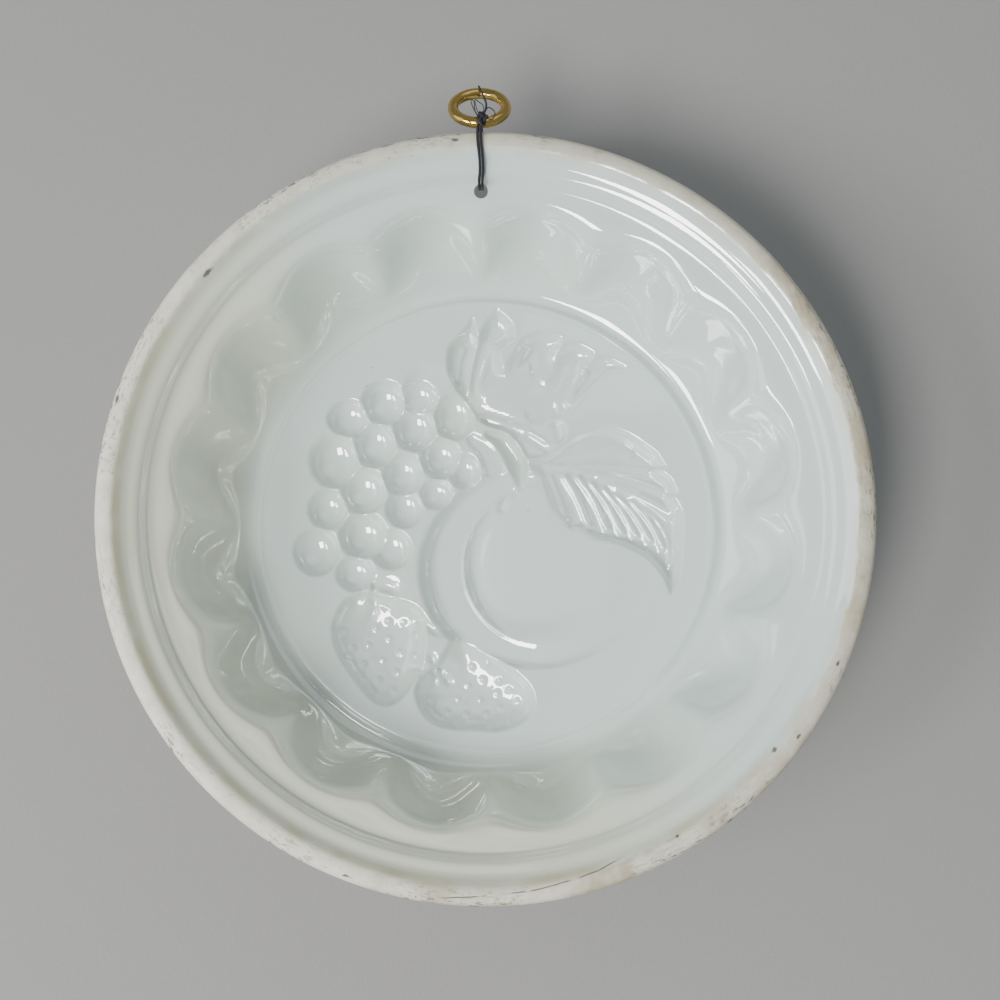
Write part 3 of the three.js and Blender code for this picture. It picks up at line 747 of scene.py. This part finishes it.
def glaze_material(colours):
    """White glossy glaze that stops short of a bare rim edge with stains, with painted shade and a
    painted warm reflection worked into its colours.
    """
    s = Shader("white_glaze")
    axes = s.node("ShaderNodeSeparateXYZ", {}, {0: s.place}, 0).socket.node.outputs
    x = Sum(s, axes[0]) - RIM_CENTRE.x
    depth = Sum(s, axes[1]) - RIM_CENTRE.y
    z = Sum(s, axes[2]) - RIM_CENTRE.z
    out = x.times(x, z * z).root()
    cloud = s.noise(14, 2)
    fine = s.noise(210, 3, 0.6)
    grain = s.noise(1500, 2)
    ragged = (s.noise(90, 3) - 0.5) * 0.0035
    edge = (out + ragged).between(0.1068, 0.1078) * (1 - (depth + ragged).between(0.0028, 0.0048))
    # Painted warm reflection and shade: the left side of the flutes and of the ledge near the rim
    # is tinted warmer.
    left = (x * -1 - z * 0.7 + cloud * 0.03).between(-0.015, 0.07) * out.between(0.072, 0.084)
    glaze = s.mix(left * 0.9, colours.glaze, colours.warm_glaze_and_reflection)
    # Warmer glaze at random, in broad clouds.
    glaze = s.mix((cloud - 0.45).between(0, 0.4) * 0.2, glaze, colours.warm_glaze_and_reflection)
    # Bare edge: cream body with painted shade towards its upper right, brown stain patches heavier
    # to the right and below over a painted shade on that side, and dark scuffs.
    # Painted shade and stains: the side mask darkens the right and lower bare edge a little all
    # over, and carries the stain patches there.
    shade_and_stain_side = (x - z * 0.35 + 0.03).between(-0.06, 0.1)
    stains_and_shade = (s.noise(38, 4, 0.7).between(0.42, 0.66) * 0.8 + 0.25) * shade_and_stain_side
    scuffed = s.noise(320, 3, 0.7).between(0.6, 0.7) * s.noise(26, 2).between(0.5, 0.62)
    # Painted shade: the bare edge turns darker towards its upper right.
    bare = s.mix((x + z * 0.8).between(-0.07, 0.1) * 0.6, colours.bare, PAINTED_SHADE_BODY)
    bare = s.mix(stains_and_shade * 0.85, bare, colours.stain_and_shade)
    bare = s.mix(fine.between(0.35, 0.7) * 0.25, bare, colours.stain_and_shade)
    bare = s.mix(scuffed * 0.6, bare, SCUFF)
    # Grime in streaks along the rim, thickest at its outer edge, and inside a yellowed glaze line
    # that also paints the shade of the inner lip, stronger to the lower left.
    turn = x.angle(z * -1)
    streaks = s.node("ShaderNodeCombineXYZ", {}, {0: turn * 0.03, 1: out, 2: depth * 0.5})
    grime = s.noise(1150, 4, 0.75, place=streaks).between(0.53, 0.59)
    grime = grime * s.noise(34, 3).between(0.44, 0.56) * (0.4 + 0.6 * out.between(0.1092, 0.112))
    bare = s.mix(grime * 0.9, bare, GRIME)
    tone = s.mix(edge, glaze, bare)
    yellow_edge_and_shade = out.between(0.1045, 0.1066) * out.between(0.1086, 0.1068)
    yellow_edge_and_shade = yellow_edge_and_shade * depth.between(0.009, 0.005) * s.noise(50, 2).between(0.3, 0.6)
    # Painted shade: the line is stronger to the lower left, where the inner lip falls in shade.
    yellow_edge_and_shade = yellow_edge_and_shade * (0.35 + 0.65 * (x + z).between(0.08, -0.1))
    tone = s.mix(yellow_edge_and_shade * 0.75, tone, YELLOW_EDGE_AND_SHADE)
    # A hairline crack low on the edge, chips and specks.
    waver = (s.noise(60, 3) - 0.5) * 0.0022
    line = (out - 0.1092 + (turn - 0.03) * 0.0095 + waver).size()
    crack = line.between(0.00026, 0.00008) * turn.between(-0.16, -0.1) * turn.between(0.36, 0.3)
    marks = crack * s.noise(240, 2).between(0.35, 0.5)
    uneven = (fine - 0.5) * 0.0018
    ragged_out = uneven.times(1.3, out)
    for px, pz, radius, stretch in MARKS:
        across = ragged_out - math.hypot(px, pz) * MM
        slope = 0.11 / stretch
        along = turn.times(slope, uneven) - math.atan2(px, -pz) * slope
        gap = across.times(across, along * along).root()
        marks = marks.most(gap.between(radius * MM, 0.4 * radius * MM))
    marks = marks * depth.between(0.004, 0.002)
    tone = s.mix(marks * 0.85, tone, MARK)
    pits = s.node("ShaderNodeTexVoronoi", {}, {"Vector": s.place, "Scale": 75.0}, 0)
    pits = pits.between(0.028, 0.016) * s.noise(9, 1).between(0.56, 0.6)
    tone = s.mix(pits * 0.55, tone, PIT)
    rough = 0.045 + cloud * 0.03 + edge * 0.6 + marks * 0.3
    relief = s.bump(s.noise(55, 2), 0.10, 0.0006)
    relief = s.bump(grain, out.between(0.1068, 0.1078) * 0.5, 0.0002, relief)
    return s.finish(
        Base_Color=tone, Roughness=rough, Normal=relief, IOR=GLAZE_IOR, Coat_Weight=1 - edge,
        Coat_Roughness=COAT_ROUGHNESS, Coat_IOR=GLAZE_IOR,
    )


# Scuffs on the bare edge: x, z, half width and how many times longer each is along the rim.
MARKS = [
    (-106.6, 31.9, 0.8, 3.2), (-106.4, 36.4, 0.5, 3.0), (-80.9, 69.8, 0.7, 3.6),
    (-7.5, 109.5, 0.8, 1.6), (79.5, -71.4, 0.8, 1.5), (86.6, -67.8, 0.6, 2.0),
    (51.4, -94.5, 0.7, 1.2), (98.8, -47.5, 0.5, 2.6), (-40.5, -103.4, 0.45, 6.0),
]


def brass_material(colours):
    """Polished brass with a little tarnish and fine scratches."""
    s = Shader("brass")
    tarnish = s.noise(160, 4, 0.6).between(0.45, 0.75)
    scratches = s.noise(2200, 3, 0.7, 0.4)
    tone = s.mix(tarnish * 0.6, colours.brass, (0.27, 0.16, 0.04))
    bump = s.bump(scratches, 0.12, 0.00005)
    bump = s.bump(s.noise(420, 2), 0.15, 0.0002, bump)
    return s.finish(Base_Color=tone, Metallic=1.0, Roughness=0.1 + tarnish * 0.12, Normal=bump)


def thread_material(colours):
    """Dark twisted sewing thread."""
    s = Shader("dark_thread")
    fibres = s.noise(5200, 3, 0.7, 0.6)
    tone = s.mix(fibres.between(0.4, 0.75) * 0.5, colours.thread, (0.028, 0.031, 0.042))
    return s.finish(
        Base_Color=tone, Roughness=0.72 + fibres * 0.2, Normal=s.bump(fibres, 0.6, 0.00012),
        Sheen_Weight=0.1, Sheen_Roughness=0.5,
    )


def stage_material(colours):
    """A plain pale ground that only shows from the front."""
    s = Shader("pale_ground")
    weave = s.noise(900, 2)
    surface = s.node(
        "ShaderNodeBsdfPrincipled", {},
        {"Base Color": s.mix(weave * 0.12, colours.stage, (0.34, 0.33, 0.32)), "Roughness": 0.9,
         "Normal": s.bump(weave, 0.25, 0.0004)},
    )
    clear = s.node("ShaderNodeBsdfTransparent", {}, {})
    behind = s.node("ShaderNodeNewGeometry", {}, {}, "Backfacing")
    mixed = s.node("ShaderNodeMixShader", {}, {0: behind, 1: surface, 2: clear})
    s.node("ShaderNodeOutputMaterial", {}, {"Surface": mixed})
    return s.material


# ---- pieces -------------------------------------------------------------------------------------


def section_stops():
    """The wall's whole section, from the floor's edge over the rim to the outside's edge."""
    stops = np.array([*HOLLOW_SIDE, *RIM_FACE, *ROOM_SIDE], float)
    padded = np.vstack([2 * stops[0] - stops[1], stops, 2 * stops[-1] - stops[-2]])
    rows = []
    for k in range(len(stops) - 1):
        p, count = padded[k : k + 4, :3], int(stops[k, 3])
        gaps = np.sqrt(np.maximum(np.linalg.norm(np.diff(p[:, :2], axis=0), axis=1), 1e-6))
        t = np.concatenate([[0], np.cumsum(gaps)])
        rows += [spline_between(p, t, at) for at in np.linspace(t[1], t[2], count, endpoint=False)]
    rows.append(stops[-1, :3])
    rows = np.array(rows)
    rows[:, 0] = np.minimum(rows[:, 0], RIM_RADIUS)
    rows[:, 1] = np.maximum(rows[:, 1], 0)
    rows[:, 2] = np.maximum(rows[:, 2], 0)
    return rows


def add_grid(name, across, up):
    """A flat grid of cells, from -1 to 1 both ways."""
    deselect()
    bpy.ops.mesh.primitive_grid_add(x_subdivisions=across, y_subdivisions=up, size=2)
    grid = bpy.context.object
    grid.name = grid.data.name = name
    return grid


def to_disc(places, radius):
    """The square from -1 to 1 pulled round into a disc."""
    u, v = places[:, 0], places[:, 1]
    return radius * u * np.sqrt(1 - v * v / 2), radius * v * np.sqrt(1 - u * u / 2)


def refine(grid, relief, busy, share):
    """Cuts the busiest cells of the floor in four."""
    activate(grid)
    mesh = grid.data
    centres = np.empty(3 * len(mesh.polygons))
    mesh.polygons.foreach_get("center", centres)
    x, z = to_disc(centres.reshape(-1, 3), PANEL_RADIUS)
    areas = np.empty(len(mesh.polygons))
    mesh.polygons.foreach_get("area", areas)
    interest = relief.at(x, z, busy) * areas
    interest[np.hypot(x, z) > PANEL_RADIUS - 1.6] = 0
    chosen = interest > np.quantile(interest, 1 - share)
    bpy.ops.object.mode_set(mode="EDIT")
    bpy.ops.mesh.select_mode(type="FACE")
    bpy.ops.mesh.select_all(action="DESELECT")
    bpy.ops.object.mode_set(mode="OBJECT")
    mesh.polygons.foreach_set("select", chosen)
    bpy.ops.object.mode_set(mode="EDIT")
    bpy.ops.mesh.subdivide(number_cuts=1)
    bpy.ops.object.mode_set(mode="OBJECT")


def outside_depths(relief, wall):
    """The outside of the floor: the relief followed at the wall's thickness."""
    stride = 4
    coarse = relief.depth[::stride, ::stride]
    step = relief.STEP * stride
    reach = int(wall / step)
    best = np.full(coarse.shape, -1.0)
    for i in range(-reach, reach + 1):
        for j in range(-reach, reach + 1):
            rise = wall**2 - step**2 * (i * i + j * j)
            if rise > 0:
                best = np.maximum(best, np.roll(coarse, (i, j), (0, 1)) + math.sqrt(rise))
    for axis in (0, 1, 0, 1):
        best = 0.5 * best + 0.25 * (np.roll(best, 1, axis) + np.roll(best, -1, axis))
    axis = relief.axis[::stride]
    fine = np.array([np.interp(relief.axis, axis, row) for row in best])
    return np.array([np.interp(relief.axis, axis, column) for column in fine.T]).T


def build_ceramic(sizes):
    """The dish: floor, fluted wall, rim and outside, joined into one closed body."""
    relief = fruit_relief(sizes.softness / MM)
    busy = relief.busy()
    floor = add_grid("ceramic_plaque_glazed", sizes.cells, sizes.cells)
    for share in FINER_SHARES:
        refine(floor, relief, busy, share)
    x, z = to_disc(vertices(floor), PANEL_RADIUS)
    inner = 1 - smooth_step(np.hypot(x, z), PANEL_RADIUS - 1.2, PANEL_RADIUS - 0.01)
    move_vertices(floor, np.c_[x, PANEL_DEPTH + relief.at(x, z) * inner, z])

    back = add_grid("outside_floor", sizes.cells, sizes.cells)
    reach = ROOM_SIDE[-1][0]
    x, z = to_disc(vertices(back), reach)
    fade = 1 - smooth_step(np.hypot(x, z), reach - 5, reach - 0.01)
    follow = relief.at(x, z, outside_depths(relief, sizes.wall / MM)) - sizes.wall / MM
    move_vertices(back, np.c_[x, ROOM_SIDE[-1][1] + follow * fade, z])

    # The columns of the wall stand where the discs' edge points are.
    edge = np.linspace(-1, 1, sizes.cells + 1)[:-1]
    quarter = np.arcsin(edge / math.sqrt(2))
    turns = np.concatenate([quarter + k * math.pi / 2 for k in range(4)])
    rows = section_stops()
    wall = add_grid("wall", len(turns), len(rows) - 1)
    places = vertices(wall)
    column = np.rint((places[:, 0] + 1) / 2 * len(turns)).astype(int) % len(turns)
    row = np.rint((places[:, 1] + 1) / 2 * (len(rows) - 1)).astype(int)
    turn = turns[column]
    wave = np.abs(np.sin(FLUTES * turn / 2))
    soft = FLUTE_SOFTNESS
    hollow = (np.sqrt(wave**2 + soft**2) - soft) / (math.sqrt(1 + soft**2) - soft)
    radius = rows[row, 0] + rows[row, 2] * hollow
    move_vertices(wall, np.c_[radius * np.sin(turn), rows[row, 1], radius * np.cos(turn)])

    join(floor, (wall, back))
    move_vertices(floor, on_row(vertices(floor)))
    weld(0.02 * MM)
    drill_hole(floor, sizes)
    activate(floor)
    bpy.ops.object.shade_smooth_by_angle(angle=math.radians(50))
    return floor


def drill_hole(dish, sizes):
    """Cuts the tilted hanging hole with a flared drill, so that its lip is rounded."""
    deselect()
    bpy.ops.mesh.primitive_cylinder_add(vertices=48, radius=sizes.hole / MM, depth=24)
    drill = bpy.context.object
    bpy.ops.object.mode_set(mode="EDIT")
    for along in DRILL_CUTS:
        bpy.ops.mesh.select_all(action="SELECT")
        bpy.ops.mesh.bisect(plane_co=(0, 0, along), plane_no=(0, 0, 1))
    bpy.ops.object.mode_set(mode="OBJECT")
    places = vertices(drill)
    flare = 1 + LIP_FLARE * (1 - smooth_step(places[:, 2], DRILL_CUTS[0], DRILL_CUTS[-1]))
    x, up, along = -places[:, 0] * flare, places[:, 1] * flare, places[:, 2]
    depth = along * math.cos(HOLE_TILT) - up * math.sin(HOLE_TILT)
    height = along * math.sin(HOLE_TILT) + up * math.cos(HOLE_TILT)
    move_vertices(drill, on_row(np.c_[x, LEDGE_DEPTH - 0.5 + depth, HOLE_HEIGHT + height]))
    apply_modifier(dish, "BOOLEAN", operation="DIFFERENCE", object=drill, solver="EXACT")
    bpy.data.objects.remove(drill)


def dress(piece, material, replaced=()):
    """Gives a finished piece its material and body, and hides the CAD nodes it stands for."""
    piece.data.materials.clear()
    piece.data.materials.append(material)
    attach(piece, "root")
    if replaced:
        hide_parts(*replaced)


def twisted_strand(name, path, radius, turns_per_mm, sides=3, samples=4):
    """A plied thread along a path: a lobed section that turns as it goes. Works in millimetres."""
    deselect()
    bpy.ops.curve.primitive_bezier_circle_add(radius=1)
    section = bpy.context.object
    section.data.splines.clear()
    outline = section.data.splines.new("POLY")
    count = sides * samples
    outline.points.add(count - 1)
    outline.use_cyclic_u = True
    for k, point in enumerate(outline.points):
        angle = 2 * math.pi * k / count
        lobe = radius * (0.86 + 0.14 * abs(math.cos(sides * angle / 2)) ** 0.7)
        point.co = (lobe * math.cos(angle), lobe * math.sin(angle), 0, 1)
    bpy.ops.curve.primitive_bezier_curve_add(radius=1)
    strand = bpy.context.object
    strand.name = strand.data.name = name
    strand.data.splines.clear()
    spine = strand.data.splines.new("POLY")
    spine.points.add(len(path) - 1)
    run = np.concatenate([[0], np.cumsum(np.linalg.norm(np.diff(path, axis=0), axis=1))])
    for point, place, along in zip(spine.points, path, run):
        point.co = (*place, 1)
        point.tilt = 2 * math.pi * turns_per_mm * along
        tail = min(along, run[-1] - along) / (2.5 * radius)
        point.radius = 0.45 + 0.55 * min(1, tail) ** 0.5
    strand.data.bevel_mode = "OBJECT"
    strand.data.bevel_object = section
    strand.data.use_fill_caps = True
    strand.data.twist_mode = "MINIMUM"
    strand.location = strand.rotation_euler = (0, 0, 0)
    activate(strand)
    bpy.ops.object.convert(target="MESH")
    strand = bpy.context.object
    bpy.data.objects.remove(section)
    move_vertices(strand, on_row(vertices(strand)))
    weld(0.002 * MM)
    bpy.ops.object.shade_smooth_by_angle(angle=math.radians(60))
    return strand


def thread_path():
    """The thread's whole route, twice round, in millimetres on the dish."""
    stops = []
    for first in (-STRAND_PITCH / 2, STRAND_PITCH / 2):
        for i, (depth, height) in enumerate(THREAD_ROUTE):
            drift = max(0, i - BEND_POINT) / (len(THREAD_ROUTE) - BEND_POINT)
            sway = THREAD_SWAY * math.sin(2 * math.pi * min(i, LIP_POINT) / LIP_POINT)
            stops.append((first + STRAND_PITCH * drift - sway, depth, height))
    return smooth_line(stops, 0.3)


THREAD_TWIST, LOOSE_TWIST = 0.42, 0.5  # turns in each millimetre
KNOT_PLACE, KNOT_SIZE, KNOT_SHARE = (0.8, -1.95, 115.1), 0.62, 0.95
# Loose ends at the knot: radius, then the line each follows.
LOOSE_ENDS = [
    (0.34, [(1.2, -2.2, 116.0), (1.9, -1.6, 118.6), (2.0, 1.4, 121.6), (1.4, 4.6, 125.0),
            (0.7, 7.4, 128.0), (-0.2, 8.6, 130.6)]),
    (0.16, [(-0.6, -1.6, 116.2), (-1.7, 0.4, 119.2), (-2.5, 2.2, 122.4), (-2.3, 3.0, 123.6),
            (-1.7, 2.2, 122.6), (-1.4, 0.2, 119.0), (-0.5, -1.7, 116.0)]),
    (0.15, [(-0.2, -2.0, 116.4), (-1.0, -0.2, 119.6), (-1.2, 1.6, 122.8), (-0.2, 1.8, 122.2),
            (1.0, 0.6, 120.6), (1.3, -1.4, 117.6)]),
    (0.18, [(1.8, -2.3, 115.2), (3.6, -2.6, 114.7), (4.6, -2.4, 116.2), (4.0, -2.2, 117.8),
            (2.6, -2.1, 118.6), (1.6, -2.1, 117.2)]),
]


# The camera: place and lens in metres and millimetres, and its turn about each axis in degrees.
CAMERA_PLACE = (-0.00099, -0.4003, -0.1844)
CAMERA_LEAN, CAMERA_SWING, CAMERA_PITCH = 1.09, -0.554, 8.438
CAMERA_LENS, CAMERA_FILM = 49.45, 36


class PLAQUE_OT_camera(bpy.types.Operator):
    """Adds the camera, square on to the hollow side and a little low"""

    bl_idname = "plaque.camera"
    bl_label = "Camera"

    def execute(self, context):
        deselect()
        bpy.ops.object.camera_add(location=CAMERA_PLACE)
        camera = context.object
        aim = (
            Matrix.Rotation(math.radians(CAMERA_LEAN), 4, "Y")
            @ Matrix.Rotation(math.radians(CAMERA_SWING), 4, "Z")
            @ Matrix.Rotation(math.radians(CAMERA_PITCH + 90), 4, "X")
        )
        camera.rotation_euler = aim.to_euler()
        camera.data.sensor_width = CAMERA_FILM
        camera.data.lens = CAMERA_LENS
        context.scene.camera = camera
        return {"FINISHED"}


class PLAQUE_OT_thread(bpy.types.Operator):
    """Builds the doubled hanging thread, its knot and its loose ends"""

    bl_idname = "plaque.thread"
    bl_label = "Thread"

    def execute(self, context):
        wm = context.window_manager
        diameter = wm.hanger_sizes.thread
        radius = diameter / 2 / MM
        path = thread_path()
        thread = twisted_strand("hanging_thread_twisted", path, radius, THREAD_TWIST)
        t = np.linspace(0, 2 * math.pi, 120)
        knot = np.c_[
            0.5 * (np.sin(t) + 2 * np.sin(2 * t)), -KNOT_SIZE * np.sin(3 * t),
            KNOT_SIZE * (np.cos(t) - 2 * np.cos(2 * t)),
        ]
        knot = knot + KNOT_PLACE
        parts = [twisted_strand("thread_knot", knot, KNOT_SHARE * radius, THREAD_TWIST)]
        parts += [
            twisted_strand("loose_end", smooth_line(line, 0.25), size, LOOSE_TWIST)
            for size, line in LOOSE_ENDS
        ]
        join(parts[0], parts[1:])
        material = thread_material(wm.plaque_colours)
        dress(thread, material, ["hanging_thread"])
        dress(parts[0], material)
        return {"FINISHED"}


class PLAQUE_OT_ceramic(bpy.types.Operator):
    """Builds the glazed ceramic dish with its fruit relief"""

    bl_idname = "plaque.ceramic"
    bl_label = "Ceramic dish"

    def execute(self, context):
        wm = context.window_manager
        dish = build_ceramic(wm.plaque_sizes)
        dress(dish, glaze_material(wm.plaque_colours), ["ceramic_plaque"])
        return {"FINISHED"}


DENT_SIZE, DENT_DEPTH = 0.006, 0.00014


class PLAQUE_OT_ring(bpy.types.Operator):
    """Builds the brass ring"""

    bl_idname = "plaque.ring"
    bl_label = "Brass ring"

    def execute(self, context):
        wm = context.window_manager
        sizes = wm.hanger_sizes
        deselect()
        bpy.ops.mesh.primitive_torus_add(
            major_radius=sizes.ring_radius, minor_radius=sizes.wire_radius, major_segments=128,
            minor_segments=40, rotation=(math.pi / 2 - sizes.ring_lean, 0, 0),
            location=Vector(on_row((0, RING_DEPTH, RING_HEIGHT))),
        )
        ring = context.object
        ring.name = ring.data.name = "brass_ring_worn"
        bpy.ops.object.transform_apply(location=True, rotation=True, scale=True)
        dents = bpy.data.textures.new("ring_dents", "CLOUDS")
        dents.noise_scale = DENT_SIZE
        apply_modifier(
            ring, "DISPLACE", texture=dents, texture_coords="LOCAL", strength=DENT_DEPTH,
            mid_level=0.5,
        )
        bpy.ops.object.shade_smooth()
        dress(ring, brass_material(wm.plaque_colours), ["brass_ring"])
        return {"FINISHED"}


class PLAQUE_OT_stage(bpy.types.Operator):
    """Adds the pale ground behind the plaque, the lights and the surroundings"""

    bl_idname = "plaque.stage"
    bl_label = "Stage"

    def execute(self, context):
        wm = context.window_manager
        scene = context.scene
        deselect()
        bpy.ops.mesh.primitive_grid_add(
            x_subdivisions=8, y_subdivisions=8, size=GROUND_SIZE,
            location=(0, CAD_BOX[1].y + GROUND_GAP, -0.12), rotation=(math.pi / 2, 0, 0),
        )
        ground = context.object
        ground.name = "pale_ground"
        bpy.ops.object.transform_apply(location=True, rotation=True, scale=True)
        ground.data.materials.append(stage_material(wm.plaque_colours))
        ground.visible_shadow = False
        world = bpy.data.worlds.new("soft_room")
        scene.world = world
        world.use_nodes = True
        light = world.node_tree.nodes["Background"].inputs
        light["Color"].default_value = (*ROOM_COLOUR, 1)
        light["Strength"].default_value = ROOM_STRENGTH
        centre = Vector(on_row((0, 40, 0)))
        for name, place, size, power, shade in LIGHTS:
            bpy.ops.object.light_add(type="AREA", location=centre + Vector(place))
            lamp = context.object
            lamp.name = name
            lamp.data.shape = "RECTANGLE"
            lamp.data.size, lamp.data.size_y = size
            lamp.data.energy = power
            lamp.data.color = shade
            lamp.rotation_euler = (Vector(place) * -1).to_track_quat("-Z", "Y").to_euler()
        return {"FINISHED"}


ROOM_COLOUR, ROOM_STRENGTH = (0.86, 0.93, 1.0), 0.33
GROUND_SIZE, GROUND_GAP = 4, 0.0005
# Lights: name, place from the middle of the dish in metres, size, power, colour.
LIGHTS = [
    ("window", (-0.62, -1.40, -0.74), (0.50, 0.70), 30.0, (1.0, 0.99, 0.97)),
    ("second_window", (-1.22, -1.10, -0.52), (0.36, 0.62), 14.0, (0.98, 0.99, 1.0)),
    ("bright_wall", (-1.75, -0.75, 0.1), (1.5, 1.4), 9.0, (0.98, 0.99, 1.0)),
    ("overhead", (0.7, -1.7, 1.2), (1.6, 1.6), 5.5, (0.95, 0.98, 1.0)),
    ("behind", (0.5, 1.3, 1.0), (1.8, 1.8), 34.0, (1.0, 1.0, 1.0)),
]


class PLAQUE_PT_panel(bpy.types.Panel):
    """Lists the plaque's sizes, colours and steps"""

    bl_idname = "PLAQUE_PT_panel"
    bl_label = "Fruit Mould Plaque"
    bl_space_type = "VIEW_3D"
    bl_region_type = "UI"
    bl_category = "Plaque"

    def draw(self, context):
        wm = context.window_manager
        for group in (wm.plaque_sizes, wm.hanger_sizes, wm.plaque_colours):
            box = self.layout.box()
            for name in group.__annotations__:
                box.prop(group, name)
        for step in STEPS:
            self.layout.operator(step.bl_idname)


STEPS = (PLAQUE_OT_camera, PLAQUE_OT_thread, PLAQUE_OT_ceramic, PLAQUE_OT_ring, PLAQUE_OT_stage)
CLASSES = (PlaqueSizes, HangerSizes, PlaqueColours, *STEPS, PLAQUE_PT_panel)


def register():
    for cls in CLASSES:
        bpy.utils.register_class(cls)
    bpy.types.WindowManager.plaque_sizes = PointerProperty(type=PlaqueSizes)
    bpy.types.WindowManager.hanger_sizes = PointerProperty(type=HangerSizes)
    bpy.types.WindowManager.plaque_colours = PointerProperty(type=PlaqueColours)


def unregister():
    del bpy.types.WindowManager.plaque_colours
    del bpy.types.WindowManager.hanger_sizes
    del bpy.types.WindowManager.plaque_sizes
    for cls in reversed(CLASSES):
        bpy.utils.unregister_class(cls)


def main():
    """Runs every step in order."""
    register()
    bpy.ops.plaque.camera()
    bpy.ops.plaque.thread()
    bpy.ops.plaque.ceramic()
    bpy.ops.plaque.ring()
    bpy.ops.plaque.stage()
    deselect()


if __name__ == "__main__":
    main()
